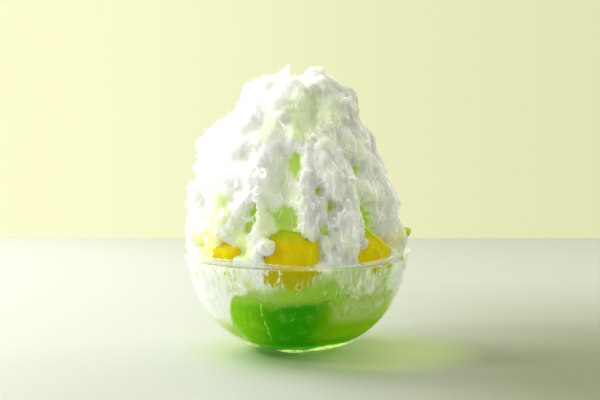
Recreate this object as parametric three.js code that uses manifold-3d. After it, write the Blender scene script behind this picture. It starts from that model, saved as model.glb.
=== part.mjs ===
// Kakigori: shaved ice heaped in a rippled glass bowl, over melon syrup, with a ring of mango slices.
// Millimetres, +Z up. The origin is the centre of the bowl's foot, on the table. The front is -Y.
// An azimuth is in degrees from the front, towards +X.
import * as THREE from "three";
import { ImprovedNoise } from "three/addons/math/ImprovedNoise.js";
import { ParametricGeometry } from "three/addons/geometries/ParametricGeometry.js";
import { mergeVertices } from "three/addons/utils/BufferGeometryUtils.js";
import Module from "manifold-3d";

const wasm = await Module();
wasm.setup();

// Driving dimensions.
const segments = 60; // round the axis, the same for the bowl and what fills it
const gap = 0.3; // kept between neighbours
const firstSeed = 40;

const wallRadius = 63.5; // outside, below the lip
const wallTop = 57;
const wallCurve = 1.7; // how soon the wall turns down from the rim
const floorCurve = 2.8; // how flat it runs in to the foot
const wallThickness = 2.5;
const floorThickness = 4;
const rimHeight = 56; // the mean, as the rim waves
const lipFlare = 1.5;
const lipHeight = 7;
const wallLevels = [4.5, 6, 9, 15, 24, 35, 46, 52]; // of the bends inside
const footRadius = 22;
const footHeight = 1.6;
const rippleCount = 15; // upright ripples in the glass
const rippleDepth = 0.45;
const syrupHeight = 24; // over the table, on the axis

const moundRadius = 60.5; // of the plain heap, a half ellipsoid that stands on the rim
const moundHeight = 105;
const moundShift = 3.5; // to the left, at the middle of its lower part
const shiftSpan = 92; // height of that part
const moundRings = 28;

const fruitSize = new THREE.Vector3(16, 15, 6); // half the width, height and thickness of a slice
const fruitHeight = 60;
const fruitFace = 61; // radius of its outer face

// Helpers.
const { clamp, degToRad, radToDeg, smoothstep, lerp, seededRandom } = THREE.MathUtils;
const perlin = new ImprovedNoise();
const around = (from, to) => ((((from - to + 180) % 360) + 360) % 360) - 180;
const bump = (distance) => Math.max(0, 1 - distance * distance) ** 2;

// A point from its azimuth, radius and height.
function polar(azimuth, radius, height, target = new THREE.Vector3()) {
  const angle = degToRad(azimuth);
  return target.set(radius * Math.sin(angle), -radius * Math.cos(angle), height);
}

// 1 between two azimuths and 0 outside them, with soft edges.
function sector(azimuth, from, to, soft) {
  const middle = (from + to) / 2;
  const past = Math.abs(around(azimuth, middle)) - (to - from) / 2;
  return 1 - smoothstep(past, -soft / 2, soft / 2);
}

// A closed geometry as a solid: its shared corners merged, its collapsed triangles dropped.
function solid(geometry) {
  const bare = new THREE.BufferGeometry();
  bare.setAttribute("position", geometry.getAttribute("position"));
  bare.setIndex(geometry.getIndex());
  const merged = mergeVertices(bare, 1e-4);
  const corners = merged.getIndex().array;
  const kept = [];
  for (let i = 0; i < corners.length; i += 3) {
    const [a, b, c] = corners.slice(i, i + 3);
    if (a !== b && b !== c && c !== a) kept.push(a, b, c);
  }
  return new wasm.Manifold(
    new wasm.Mesh({
      numProp: 3,
      vertProperties: merged.getAttribute("position").array,
      triVerts: new Uint32Array(kept),
    }),
  );
}

// A solid from rings round the axis: place(ring, azimuth) is a point, and the first and last ring are single points.
function ringed(rings, place) {
  const surface = (u, v, target) => place(Math.round(v * (rings - 1)), (u % 1) * 360, target);
  return solid(new ParametricGeometry(surface, segments, rings - 1));
}

// A solid from a plain shape whose every point is moved by place(point).
function reshaped(geometry, place) {
  const position = geometry.getAttribute("position");
  const point = new THREE.Vector3();
  for (let i = 0; i < position.count; i++) {
    place(point.fromBufferAttribute(position, i));
    position.setXYZ(i, point.x, point.y, point.z);
  }
  return solid(geometry);
}

function largest(body) {
  return body.decompose().reduce((a, b) => (a.volume() > b.volume() ? a : b));
}

const group = new THREE.Group();
function addMesh(name, body, material) {
  const { numProp, vertProperties, triVerts } = body.getMesh();
  const geometry = new THREE.BufferGeometry();
  const corners = new THREE.InterleavedBuffer(vertProperties, numProp);
  geometry.setAttribute("position", new THREE.InterleavedBufferAttribute(corners, 3, 0));
  geometry.setIndex(new THREE.BufferAttribute(triVerts, 1));
  geometry.computeVertexNormals();
  const mesh = new THREE.Mesh(geometry, new THREE.MeshStandardMaterial(material));
  mesh.name = name;
  group.add(mesh);
}

// The bowl. Its outline is a superellipse from the foot to the rim, inside as outside.
function outline(height, radius, bottom) {
  const drop = clamp((wallTop - height) / (wallTop - bottom), 0, 1);
  const flare = lipFlare * smoothstep(height, rimHeight - lipHeight, rimHeight) ** 2;
  return radius * (1 - drop ** wallCurve) ** (1 / floorCurve) + flare;
}
const outerRadius = (height) => outline(height, wallRadius, 0);
const innerRadius = (height) => outline(height, wallRadius - wallThickness, floorThickness);
const fillRadius = (height) => Math.max(0, innerRadius(height - gap) - gap);

// How much the rim's wave lifts the glass, and what lies against it, at a height. The foot lies flat.
function rimWave(azimuth, height = rimHeight) {
  const wave =
    1.0 * Math.cos(degToRad(azimuth - 43)) +
    2.1 * Math.cos(degToRad(3 * azimuth + 149)) +
    0.5 * Math.cos(degToRad(4 * azimuth + 21));
  return wave * clamp((height - 12) / (rimHeight - 12), 0, 1) ** 2;
}

function rippled(azimuth, height) {
  const drift = 70 * perlin.noise(height / 18, Math.cos(degToRad(azimuth)), Math.sin(degToRad(azimuth)));
  const fade = smoothstep(height, 14, 40) * (1 - smoothstep(height, 50, 56));
  return rippleDepth * fade * Math.sin(degToRad(rippleCount * azimuth + drift));
}

function makeBowl() {
  const wall = [3, 9, 18, 28, 38, 48];
  const lip = outerRadius(rimHeight);
  const profile = [
    [0, 0],
    [footRadius, 0],
    [footRadius, footHeight],
    ...wall.map((height) => [outerRadius(height), height, 1]),
    [lip - 0.2, rimHeight - 0.9],
    [lip - wallThickness / 2, rimHeight],
    [lip - wallThickness + 0.2, rimHeight - 0.9],
    ...wallLevels.map((height) => [innerRadius(height), height]).reverse(),
    [0, floorThickness],
  ];
  return ringed(profile.length, (ring, azimuth, target) => {
    const [radius, height, ripples = 0] = profile[ring];
    polar(azimuth, radius + ripples * rippled(azimuth, height), height + rimWave(azimuth, height), target);
  });
}

// The syrup's top, where the soaked ice ends and the white ice begins. Against the glass it is high at the
// front, falls off steeply on the left, where white ice runs down the wall, and slopes down to the right.
function syrupEdge(azimuth) {
  const front = 11 * sector(azimuth, -42, 22, 14) + 3 * sector(azimuth, 20, 40, 20);
  const left = -12 * sector(azimuth, -125, -48, 16);
  const back = 4 * sector(azimuth, 100, 200, 40);
  return syrupHeight + front + left + back + Math.sin(degToRad(9 * azimuth));
}

// The syrup, or with spare that much more of it above and below, and well past the ice at its side.
function makeSyrup(spare = 0) {
  const bottom = floorThickness + gap;
  const wall = [bottom, ...wallLevels];
  const top = [1, 0.8, 0.45, 0];
  return ringed(wall.length + top.length, (ring, azimuth, target) => {
    const edge = syrupEdge(azimuth);
    if (ring < wall.length) {
      const height = Math.min(wall[ring], edge);
      const radius = ring && fillRadius(height) + 3 * spare;
      const grown = height < edge ? -spare : spare;
      return polar(azimuth, radius, height + rimWave(azimuth, height) + grown, target);
    }
    const share = top[ring - wall.length];
    const swell = 2 * share * (1 - share) * Math.cos(degToRad(5 * azimuth));
    const height = lerp(syrupHeight, edge + rimWave(azimuth, edge), share ** 2) + swell;
    polar(azimuth, share * fillRadius(edge), height + spare, target);
  });
}

// The heap's plain outline, and its relief: what stands out from it or is sunk in it. Each row runs from one
// azimuth and height to another, and gives its half width and how far it stands out at its middle.
const heap = new THREE.EllipseCurve(0, rimHeight, moundRadius, moundHeight, 0, Math.PI / 2);
const onHeap = (height) => moundRadius * Math.sqrt(1 - ((height - rimHeight) / moundHeight) ** 2);

const relief = [
  // Shoulders and steps of the outline.
  [[-90, 120], [-90, 116], 13, 5],
  [[-92, 106], [-88, 98], 12, -6.5],
  [[-92, 91], [-92, 86], 10, 2],
  [[92, 86], [88, 80], 14, 1.5],
  [[-100, 140], [-80, 140], 12, -4],
  [[90, 150], [95, 148], 14, 3],
  [[90, 140], [90, 126], 11, -5],
  [[180, 160], [0, 160], 18, -6],
  // Ridges of white ice that run down between the hollows.
  [[7, 108], [7, 80], 8, 3],
  [[22, 120], [24, 66], 11, 4.5],
  [[33, 104], [33, 62], 8, 4],
  [[-20, 112], [-24, 62], 7, 3],
  [[-36, 100], [-48, 66], 8, 3.5],
  [[64, 108], [68, 62], 9, 2],
  [[-70, 105], [-72, 62], 12, 2],
  // Hollows, and the windows in front of the mango.
  [[-3, 115], [-3, 98], 9, -7],
  [[18, 88], [18, 84], 6, -8],
  [[15, 74], [15, 71], 5, -8],
  [[44, 106], [44, 103], 6, -5],
  [[-10, 82], [-2, 78], 9, -6],
  [[-27, 92], [-26, 78], 5, -7],
  [[43, 86], [45, 74], 8, -6],
  [[-55, 86], [-54, 76], 11, -4],
  [[17, 143], [17, 134], 14, -4],
  [[-24, 133], [-24, 128], 9, -3],
  [[-16, 61], [9, 61], 9, -6],
  [[38, 63], [60, 58], 9, -6],
  [[-62, 60], [-38, 60], 8, -4.5],
  [[84, 68], [98, 67], 6, -2.5],
].map(([from, to, width, out]) => {
  const ends = [from, to].map(([azimuth, height]) => polar(azimuth, onHeap(height), height));
  return { line: new THREE.Line3(...ends), width, out };
});

// The back has ridges, hollows and windows of the same kinds, by rule.
for (let k = 0; k < 9; k++) {
  const azimuth = 112 + 17 * k;
  const tilt = 12 * (seededRandom(firstSeed + k) - 0.5);
  const out = k % 2 ? -6 : 4;
  const foot = 60 + 14 * seededRandom(firstSeed + 20 + k);
  const head = foot + 18 + 26 * seededRandom(firstSeed + 40 + k);
  const ends = [polar(azimuth + tilt, onHeap(head), head), polar(azimuth, onHeap(foot), foot)];
  relief.push({ line: new THREE.Line3(...ends), width: 8.5, out });
}

const nearest = new THREE.Vector3();
function standsOut(point) {
  let out = 0;
  for (const { line, width, out: most } of relief) {
    line.closestPointToPoint(point, true, nearest);
    out += most * bump(nearest.distanceTo(point) / width);
  }
  const { x, y, z } = point;
  out += 3 * perlin.noise(x / 17, y / 17, z / 22);
  out += 3.2 * perlin.noise(x / 9 + 5, y / 9, z / 12);
  out += 1.6 * perlin.noise(x / 5, y / 5 + 9, z / 9);
  return out;
}

// A point of the heap's surface, moved out along its slope. The relief is less just over the rim.
function heapPoint(azimuth, plainRadius, plainHeight, out, target) {
  polar(azimuth, plainRadius, plainHeight, target);
  const slope = new THREE.Vector2(
    plainRadius / moundRadius ** 2,
    (plainHeight - rimHeight) / moundHeight ** 2,
  ).normalize();
  const free = smoothstep(plainHeight, rimHeight - 4, rimHeight + 6);
  const moved = out + free * standsOut(target);
  const height = plainHeight + slope.y * moved;
  polar(azimuth, plainRadius + slope.x * moved, height, target);
  target.x -= moundShift * Math.sin(Math.PI * clamp((height - rimHeight) / shiftSpan, 0, 1));
  target.z += rimWave(azimuth) * (1 - smoothstep(plainHeight, rimHeight, rimHeight + 20));
}

// All that the bowl holds: the heap, and below it the ice down to the bottom of the glass.
function makeHeap() {
  const wall = wallLevels.map((height) => [fillRadius(height), height]);
  const neck = [-0.5, 1.2].map((lift) => [fillRadius(rimHeight), rimHeight + lift]);
  const below = [[0, floorThickness + gap], ...wall, ...neck];
  const plain = heap.getSpacedPoints(moundRings).slice(1);
  return ringed(below.length + plain.length, (ring, azimuth, target) => {
    if (ring < below.length) {
      const [radius, height] = below[ring];
      return polar(azimuth, radius, height + rimWave(azimuth, height), target);
    }
    const { x: radius, y: height } = plain[ring - below.length];
    heapPoint(azimuth, radius, height, 0, target);
  });
}

// A tongue of wet ice that runs down the heap, from one azimuth and height to another. Its top melts into the
// heap, and its foot stands out. On a plain shape of few corners it is a crag.
function tongue([fromAzimuth, fromHeight], [toAzimuth, toHeight], halfWidth, thickness, shape) {
  return reshaped(shape ?? new THREE.SphereGeometry(1, 6, 6), (point) => {
    const { x: across, y: along, z: out } = point;
    const down = (1 - along) / 2;
    const height = lerp(fromHeight, toHeight, down);
    const radius = onHeap(height);
    const wide = halfWidth * lerp(0.7, 1.1, down);
    const azimuth = lerp(fromAzimuth, toAzimuth, down) + radToDeg((wide * across) / radius);
    const thick = thickness * lerp(0.5, 1, down);
    heapPoint(azimuth, radius, height, out > 0 ? thick * (0.2 + out) : 0.2 + 2 * thickness * out, point);
  });
}

const tongues = [
  [[7, 100], [8, 64], 5.5, 3.2],
  [[20, 114], [22, 86], 7, 3],
  [[30, 108], [33, 58], 7, 3],
  [[-26, 98], [-46, 64], 4.5, 3],
  [[-18, 98], [-21, 58], 4.2, 3],
  [[-20, 68], [-14, 61], 4.8, 4],
  [[-72, 100], [-70, 60], 7, 3],
  [[64, 112], [69, 62], 7, 3],
  [[-50, 112], [-56, 84], 6, 3],
  [[46, 122], [52, 98], 6, 2.6],
];
for (let k = 0; k < 7; k++) {
  const azimuth = 108 + 23 * k;
  const head = 88 + 30 * seededRandom(firstSeed + 60 + k);
  const foot = head - 24 - 16 * seededRandom(firstSeed + 80 + k);
  const halfWidth = 4.5 + 3 * seededRandom(firstSeed + 100 + k);
  tongues.push([[azimuth, head], [azimuth + 5, Math.max(foot, 60)], halfWidth, 3]);
}

// A blade of shaved ice: a flat cone whose foot is sunk in the heap and whose tip leans along a direction.
function blade(azimuth, height, direction, length, width) {
  const foot = new THREE.Vector3();
  heapPoint(azimuth, onHeap(height), height, -1.5, foot);
  const turn = new THREE.Quaternion().setFromUnitVectors(new THREE.Vector3(0, 1, 0), direction);
  return reshaped(new THREE.ConeGeometry(1, 1, 3, 2), (point) => {
    const along = point.y + 0.5;
    point.set(point.x * width, along * length, point.z * width * 0.35 + 0.15 * length * along * along);
    point.applyQuaternion(turn).add(foot);
  });
}

// Crags all over the heap, each a small tongue with four sides. They lie down the slope, some askew.
function makeCrags(count) {
  return Array.from({ length: count }, (_, k) => {
    const draw = (n) => seededRandom(1000 + 10 * k + n);
    const azimuth = 137.5 * k + 20 * draw(0);
    const height = rimHeight + 12 + (moundHeight - 16) * Math.sqrt((k + 0.5) / count);
    const length = 7 + 6 * draw(1);
    const askew = 10 * (draw(2) - 0.5);
    const head = [azimuth + askew, Math.min(height + length / 2, rimHeight + moundHeight - 2)];
    const foot = [azimuth - askew, height - length / 2];
    return tongue(head, foot, 2.5 + 2.5 * draw(3), 2 + 1.4 * draw(4), new THREE.OctahedronGeometry());
  });
}

// Thin blades that stick up out of the heap's shoulders.
function makeBlades(count) {
  return Array.from({ length: count }, (_, k) => {
    const draw = (n) => seededRandom(3000 + 10 * k + n);
    const azimuth = 137.5 * k + 30;
    const height = rimHeight + 26 + 72 * draw(0);
    const direction = polar(azimuth + 60 * (draw(1) - 0.5), 1, 1.4).normalize();
    return blade(azimuth, height, direction, 4.5 + 2.5 * draw(2), 2.2 + 1.4 * draw(3));
  });
}

// The crest: a knob of ice right of the middle, and a thin fin that climbs to a spike left of it.
function crest() {
  const knob = reshaped(new THREE.SphereGeometry(1, 8, 6), (point) => {
    point.set(9 + 7.5 * point.x, -2 + 7 * point.y, 155.5 + 6.2 * point.z);
  });
  const fins = [
    [-90, 149, [0, -0.1, 1], 6, 4],
    [-80, 154, [0.5, 0, 1], 7, 6],
    [-75, 159.5, [0.5, 0.1, 1], 7, 3.5],
    [-92, 95, [-0.7, -0.2, 0.9], 5, 2],
  ].map(([azimuth, height, towards, length, width]) =>
    blade(azimuth, height, new THREE.Vector3(...towards).normalize(), length, width),
  );
  return [knob, ...fins];
}

// The mango: slices that stand in a ring just inside the rim. The left one of the ring is buried, and left out.
function mangoSlice({ azimuth, tilt = 0, lean = 0, taper = 0 }, spare) {
  const half = fruitSize.clone().addScalar(spare);
  const squarer = (t) => Math.sign(t) * Math.abs(t) ** 0.7;
  return reshaped(new THREE.SphereGeometry(1, 10, 6), (point) => {
    const across = squarer(point.x) * half.x;
    const up = squarer(point.y) * half.y * (1 - (taper * across) / fruitSize.x);
    const thick = squarer(point.z) * half.z;
    const height = fruitHeight + up + tilt * across;
    const above = Math.max(0, height - rimHeight - 5);
    const inside = innerRadius(Math.min(height, rimHeight) - gap) - 1.5 * gap + spare;
    const radius = fruitFace - fruitSize.z + thick + lean * above;
    const angle = azimuth + radToDeg(across / fruitFace);
    polar(angle, above > 0 ? Math.max(radius, 0) : Math.min(radius, inside), height, point);
  });
}

const slices = [
  { azimuth: -46, tilt: 0.1, taper: -0.15 },
  { azimuth: -3, tilt: -0.08 },
  { azimuth: 44, tilt: -0.15, taper: 0.35 },
  { azimuth: 88, lean: 0.55, taper: 0.1 },
  { azimuth: 133, tilt: 0.12, taper: -0.2 },
  { azimuth: 178, tilt: -0.1, taper: 0.2 },
  { azimuth: 223, tilt: 0.08, taper: 0.1 },
];

const body = (color, roughness, rest = {}) => ({ color, roughness, metalness: 0, ...rest });
const glass = body("#f4fbf4", 0.05, { transparent: true, opacity: 0.3 });

let ice = makeHeap().subtract(makeSyrup(gap));
for (const [from, to, halfWidth, thickness] of tongues) ice = ice.add(tongue(from, to, halfWidth, thickness));
for (const piece of [...makeCrags(24), ...makeBlades(8), ...crest()]) ice = ice.add(piece);
for (const slice of slices) ice = ice.subtract(mangoSlice(slice, gap));

addMesh("bowl", makeBowl(), glass);
addMesh("syrup", makeSyrup(), body("#5fb400", 0.25));
addMesh("shaved_ice", largest(ice), body("#f6faf2", 0.5));
slices.forEach((slice, k) => addMesh(`mango_slice_${k + 1}`, mangoSlice(slice, 0), body("#f2cf10", 0.35)));

export default group;
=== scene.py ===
# Kakigori: shaved ice heaped in a rippled glass bowl, over melon syrup, with a ring of mango slices
import bpy
import math
import random
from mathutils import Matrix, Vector, noise
from mathutils.bvhtree import BVHTree


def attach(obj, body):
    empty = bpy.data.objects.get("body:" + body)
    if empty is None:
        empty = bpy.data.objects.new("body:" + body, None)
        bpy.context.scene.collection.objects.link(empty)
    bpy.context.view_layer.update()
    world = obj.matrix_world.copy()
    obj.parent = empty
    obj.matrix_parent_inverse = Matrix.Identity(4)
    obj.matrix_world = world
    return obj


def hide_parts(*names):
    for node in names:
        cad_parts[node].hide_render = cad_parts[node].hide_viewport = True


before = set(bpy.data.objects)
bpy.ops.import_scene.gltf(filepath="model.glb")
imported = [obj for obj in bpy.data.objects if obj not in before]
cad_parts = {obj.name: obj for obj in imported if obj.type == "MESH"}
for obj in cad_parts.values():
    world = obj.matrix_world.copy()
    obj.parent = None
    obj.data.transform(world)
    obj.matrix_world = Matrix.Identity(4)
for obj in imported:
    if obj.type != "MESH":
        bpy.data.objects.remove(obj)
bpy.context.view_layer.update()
mm = 0.001
print("frame loaded")


# selecting, shaping and dressing a piece

def selectOnly(piece):
    if bpy.context.object and bpy.context.object.mode != "OBJECT":
        bpy.ops.object.mode_set(mode="OBJECT")
    bpy.ops.object.select_all(action="DESELECT")
    piece.select_set(True)
    bpy.context.view_layer.objects.active = piece


def inEditMode(piece, *steps):
    # each step is an operator and its settings, run on the whole mesh
    selectOnly(piece)
    bpy.ops.object.mode_set(mode="EDIT")
    bpy.ops.mesh.select_all(action="SELECT")
    for operator, settings in steps:
        operator(**settings)
    bpy.ops.object.mode_set(mode="OBJECT")


def newPiece(name, operator, **settings):
    bpy.ops.object.select_all(action="DESELECT")
    operator(**settings)
    piece = bpy.context.object
    piece.name = name
    return piece


def settle():
    # the new piece's place, turn and scale go into its mesh
    bpy.ops.object.transform_apply(location=True, rotation=True, scale=True)


def turnOutwards(piece):
    inEditMode(piece, (bpy.ops.mesh.normals_make_consistent, {"inside": False}))


def applyModifier(piece, kind, **settings):
    selectOnly(piece)
    bpy.ops.object.modifier_add(type=kind)
    modifier = piece.modifiers[-1]
    for name, value in settings.items():
        setattr(modifier, name, value)
    bpy.ops.object.modifier_apply(modifier=modifier.name)


def moveVertices(piece, rule):
    # rule takes a vertex's place and returns its new one
    for vertex in piece.data.vertices:
        vertex.co = rule(vertex.co)
    piece.data.update()


def mergedCopy(node, name):
    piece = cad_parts[node].copy()
    piece.data = piece.data.copy()
    piece.parent = None
    for key in [key for key in piece.keys() if key.startswith("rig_")]:
        del piece[key]
    bpy.context.collection.objects.link(piece)
    piece.name = name
    piece.data.name = name
    inEditMode(piece, (bpy.ops.mesh.remove_doubles, {"threshold": 0.01 * mm}))
    return piece


def join(piece, others):
    selectOnly(piece)
    for other in others:
        other.select_set(True)
    bpy.ops.object.join()


def pieceFrom(name, points, faces):
    mesh = bpy.data.meshes.new(name)
    mesh.from_pydata(points, [], faces)
    mesh.update()
    piece = bpy.data.objects.new(name, mesh)
    bpy.context.collection.objects.link(piece)
    return piece


def addRope(points, faces, path, wide, sides, lift):
    # a tapered rope along a path of places and normals, which lifts off towards its end
    first = len(points)
    for k, (spot, up) in enumerate(path):
        share = k / (len(path) - 1)
        swell = wide * math.sin(math.pi * min(0.97, max(0.05, share)) ** 0.8)
        ahead = path[min(k + 1, len(path) - 1)][0] - path[max(0, k - 1)][0]
        across = up.cross(ahead).normalized()
        centre = spot + up * (0.1 * mm + lift * share * share)
        for j in range(sides):
            turn = 2 * math.pi * j / sides
            points.append(centre + across * (swell * math.cos(turn)) + up * (0.75 * swell * math.sin(turn)))
    for k in range(len(path) - 1):
        for j in range(sides):
            a = first + k * sides + j
            b = first + k * sides + (j + 1) % sides
            faces.append((a, b, b + sides, a + sides))
    faces.append(tuple(first + j for j in reversed(range(sides))))
    faces.append(tuple(first + (len(path) - 1) * sides + j for j in range(sides)))


def addRibbon(points, faces, path, wide):
    # a thin ribbon along a path of places and normals, which narrows to its end
    first = len(points)
    for k, (spot, up) in enumerate(path):
        half = wide * (1 - 0.8 * k / (len(path) - 1))
        ahead = path[min(k + 1, len(path) - 1)][0] - path[max(0, k - 1)][0]
        across = up.cross(ahead).normalized()
        points += [spot - across * half, spot + across * half]
    for k in range(len(path) - 1):
        a = first + 2 * k
        faces.append((a, a + 2, a + 3, a + 1))


def setAttribute(piece, name, values):
    attribute = piece.data.attributes.new(name, "FLOAT", "POINT")
    attribute.data.foreach_set("value", values)


def dress(piece, material, slot, *nodes):
    piece.data.materials.clear()
    piece.data.materials.append(material)
    selectOnly(piece)
    bpy.ops.object.shade_smooth()
    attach(piece, "root")
    if nodes:
        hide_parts(*nodes)


# places: azimuth in degrees from the front towards the right, and the radius from the axis

def smoothStep(value, low, high):
    t = min(1, max(0, (value - low) / (high - low)))
    return t * t * (3 - 2 * t)


def azimuthOf(point):
    return math.degrees(math.atan2(point.x, -point.y))


def polar(azimuth, radius, height):
    angle = math.radians(azimuth)
    return Vector((radius * math.sin(angle), -radius * math.cos(angle), height))


def apart(azimuth, other):
    return (azimuth - other + 180) % 360 - 180


def sector(azimuth, start, end, soft):
    past = abs(apart(azimuth, (start + end) / 2)) - (end - start) / 2
    return 1 - smoothStep(past, -soft / 2, soft / 2)


# material nodes

class Value:
    # a number in a material, on which the operators make Math nodes
    def __init__(self, recipe, socket):
        self.recipe = recipe
        self.socket = socket

    def maths(self, operation, first, second=0.0):
        return self.recipe.node("ShaderNodeMath", {"operation": operation}, {0: first, 1: second})

    def __add__(self, other):
        return self.maths("ADD", self, other)

    def __radd__(self, other):
        return self.maths("ADD", other, self)

    def __sub__(self, other):
        return self.maths("SUBTRACT", self, other)

    def __rsub__(self, other):
        return self.maths("SUBTRACT", other, self)

    def __mul__(self, other):
        return self.maths("MULTIPLY", self, other)

    def __rmul__(self, other):
        return self.maths("MULTIPLY", other, self)


class Recipe:
    # one material, whose every node comes from node()
    def __init__(self, name, **constants):
        self.material = bpy.data.materials.new(name)
        self.material.use_nodes = True
        self.tree = self.material.node_tree
        self.tree.nodes.clear()
        self.shader = self.tree.nodes.new("ShaderNodeBsdfPrincipled")
        output = self.tree.nodes.new("ShaderNodeOutputMaterial")
        self.tree.links.new(self.shader.outputs[0], output.inputs["Surface"])
        self.set(**constants)

    def fill(self, node, sockets):
        for key, value in sockets.items():
            socket = node.inputs[key]
            if isinstance(value, Value):
                self.tree.links.new(value.socket, socket)
            elif isinstance(value, tuple) and socket.type == "RGBA":
                socket.default_value = (*value, 1)
            else:
                socket.default_value = value

    def set(self, **sockets):
        self.fill(self.shader, {name.replace("_", " "): value for name, value in sockets.items()})

    def node(self, kind, settings, sockets, output=0):
        node = self.tree.nodes.new(kind)
        for name, value in settings.items():
            setattr(node, name, value)
        self.fill(node, sockets)
        return Value(self, node.outputs[output])

    def coordinates(self):
        return self.node("ShaderNodeTexCoord", {}, {}, "Object")

    def noise(self, size, detail=3.0, stretch=1, offset=0, roughness=0.5, distortion=0.0):
        # size is that of its bumps in metres, and stretch how much taller than wide they are
        place = {"Scale": (1 / size, 1 / size, 1 / size / stretch), "Location": (offset, offset, offset)}
        vector = self.node("ShaderNodeMapping", {}, {"Vector": self.coordinates(), **place})
        sockets = {"Vector": vector, "Scale": 1.0, "Detail": detail, "Roughness": roughness}
        return self.node("ShaderNodeTexNoise", {}, {**sockets, "Distortion": distortion})

    def spread(self, value, low, high, newLow=0.0, newHigh=1.0):
        sockets = {"Value": value, "From Min": low, "From Max": high, "To Min": newLow, "To Max": newHigh}
        return self.node("ShaderNodeMapRange", {"interpolation_type": "SMOOTHSTEP"}, sockets)

    def mix(self, factor, first, second):
        return self.node("ShaderNodeMix", {"data_type": "RGBA"}, {0: factor, 6: first, 7: second}, 2)

    def cover(self, colour, value, low, high, other):
        # the other colour covers the first as the value goes from low to high
        return self.mix(self.spread(value, low, high), colour, other)

    def glow(self, share, colour, strength):
        self.set(Emission_Color=self.mix(share, (0, 0, 0), colour), Emission_Strength=strength)

    def axis(self, letter):
        return self.node("ShaderNodeSeparateXYZ", {}, {"Vector": self.coordinates()}, letter)

    def attribute(self, name):
        return self.node("ShaderNodeAttribute", {"attribute_name": name}, {}, "Fac")

    def bump(self, height, distance, strength=1.0):
        sockets = {"Height": height, "Distance": distance, "Strength": strength}
        self.set(Normal=self.node("ShaderNodeBump", {}, sockets))


# the glass bowl

bowl = {
    "sides": 480,
    "wallRadius": 63.5 * mm,     # outside, below the lip
    "wallTop": 57 * mm,
    "wallCurve": 1.7,            # how soon the wall turns down
    "floorCurve": 2.8,           # how flat it runs in to the foot
    "wallThickness": 2.5 * mm,
    "floorThickness": 4 * mm,
    "floorLevel": 14 * mm,       # below it the inside counts as floor, not wall
    "rimHeight": 56 * mm,
    "lipFlare": 1.5 * mm,
    "lipHeight": 7 * mm,
    "lipRound": 1.3 * mm,        # how far under the rim its rounding begins
    "lipSteps": 10,
    "footRadius": 22 * mm,
    "footProfile": [(-0.5, 0), (0, 0.4), (0.1, 1.3), (0.6, 1.6)],            # mm past its radius, and up
    "waveStart": 12 * mm,
    "waves": [(1.0 * mm, 1, 43), (2.1 * mm, 3, -149), (0.5 * mm, 4, -21)],   # height, number, place
    "outerStart": 2.6 * mm,
    "outerRings": 90,
    "outerSpacing": 1.15,        # above 1, the rings lie closer near the foot
    "innerStart": 4.5 * mm,
    "innerRings": 30,
    "innerSpacing": 1.5,
    "rippleBottom": 6 * mm,
    "rippleRise": (14 * mm, 40 * mm),
    "rippleFall": (53.5 * mm, 55.5 * mm),
    "rippleDepth": 0.45 * mm,
    "rippleWidth": 1.9 * mm,
    "rippleLength": 12 * mm,
    "contactGap": 1.8 * mm,      # what lies nearer than this touches the inside
    "contactTop": 1.5 * mm,      # but not so close under the rim
    "tint": (0.97, 1.0, 0.97),
    # painted dark streaks of refraction, then the glow colour of the painted glints and of the painted
    # highlight along the rim
    "paintedDarkStreakTint": (0.55, 0.60, 0.50),
    "shine": (0.85, 1.0, 0.8),
}


def wallAt(height, radius, bottom):
    drop = min(1, max(0, (bowl["wallTop"] - height) / (bowl["wallTop"] - bottom)))
    lipStart = bowl["rimHeight"] - bowl["lipHeight"]
    flare = bowl["lipFlare"] * smoothStep(height, lipStart, bowl["rimHeight"]) ** 2
    return radius * (1 - drop ** bowl["wallCurve"]) ** (1 / bowl["floorCurve"]) + flare


def outerWall(height):
    return wallAt(height, bowl["wallRadius"], 0)


def innerWall(height):
    return wallAt(height, bowl["wallRadius"] - bowl["wallThickness"], bowl["floorThickness"])


def innerFloor(radius):
    # the height of the inner wall at a radius
    full = bowl["wallRadius"] - bowl["wallThickness"]
    share = min(1, radius / full)
    drop = (1 - share ** bowl["floorCurve"]) ** (1 / bowl["wallCurve"])
    return bowl["wallTop"] - (bowl["wallTop"] - bowl["floorThickness"]) * drop


def intoWall(point, share, least):
    # what lies near the inner wall is moved into it, by a share of its thickness
    azimuth = azimuthOf(point)
    radius = math.hypot(point.x, point.y)
    lift = rimWave(azimuth, point.z)
    level = point.z - lift
    low = level < bowl["floorLevel"]
    gap = level - innerFloor(radius) if low else innerWall(level) - radius
    if gap > bowl["contactGap"] or level > bowl["rimHeight"] - bowl["contactTop"]:
        return point
    height = innerFloor(radius) if low else level
    flat = radius if low else innerWall(height)
    step = 0.2 * mm
    slope = (innerWall(height + step) - innerWall(max(bowl["floorThickness"], height - step))) / (2 * step)
    tilt = math.hypot(1, slope)
    reach = max(least, share * (outerWall(height) - innerWall(height)) / tilt)
    return polar(azimuth, flat + reach / tilt, height - reach * slope / tilt + lift)


def rimWave(azimuth, height):
    wave = 0
    for size, number, place in bowl["waves"]:
        wave += size * math.cos(math.radians(number * azimuth - place))
    share = (height - bowl["waveStart"]) / (bowl["rimHeight"] - bowl["waveStart"])
    return wave * min(1, max(0, share)) ** 2


def rimTop(azimuth):
    return bowl["rimHeight"] + rimWave(azimuth, bowl["rimHeight"])


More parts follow.
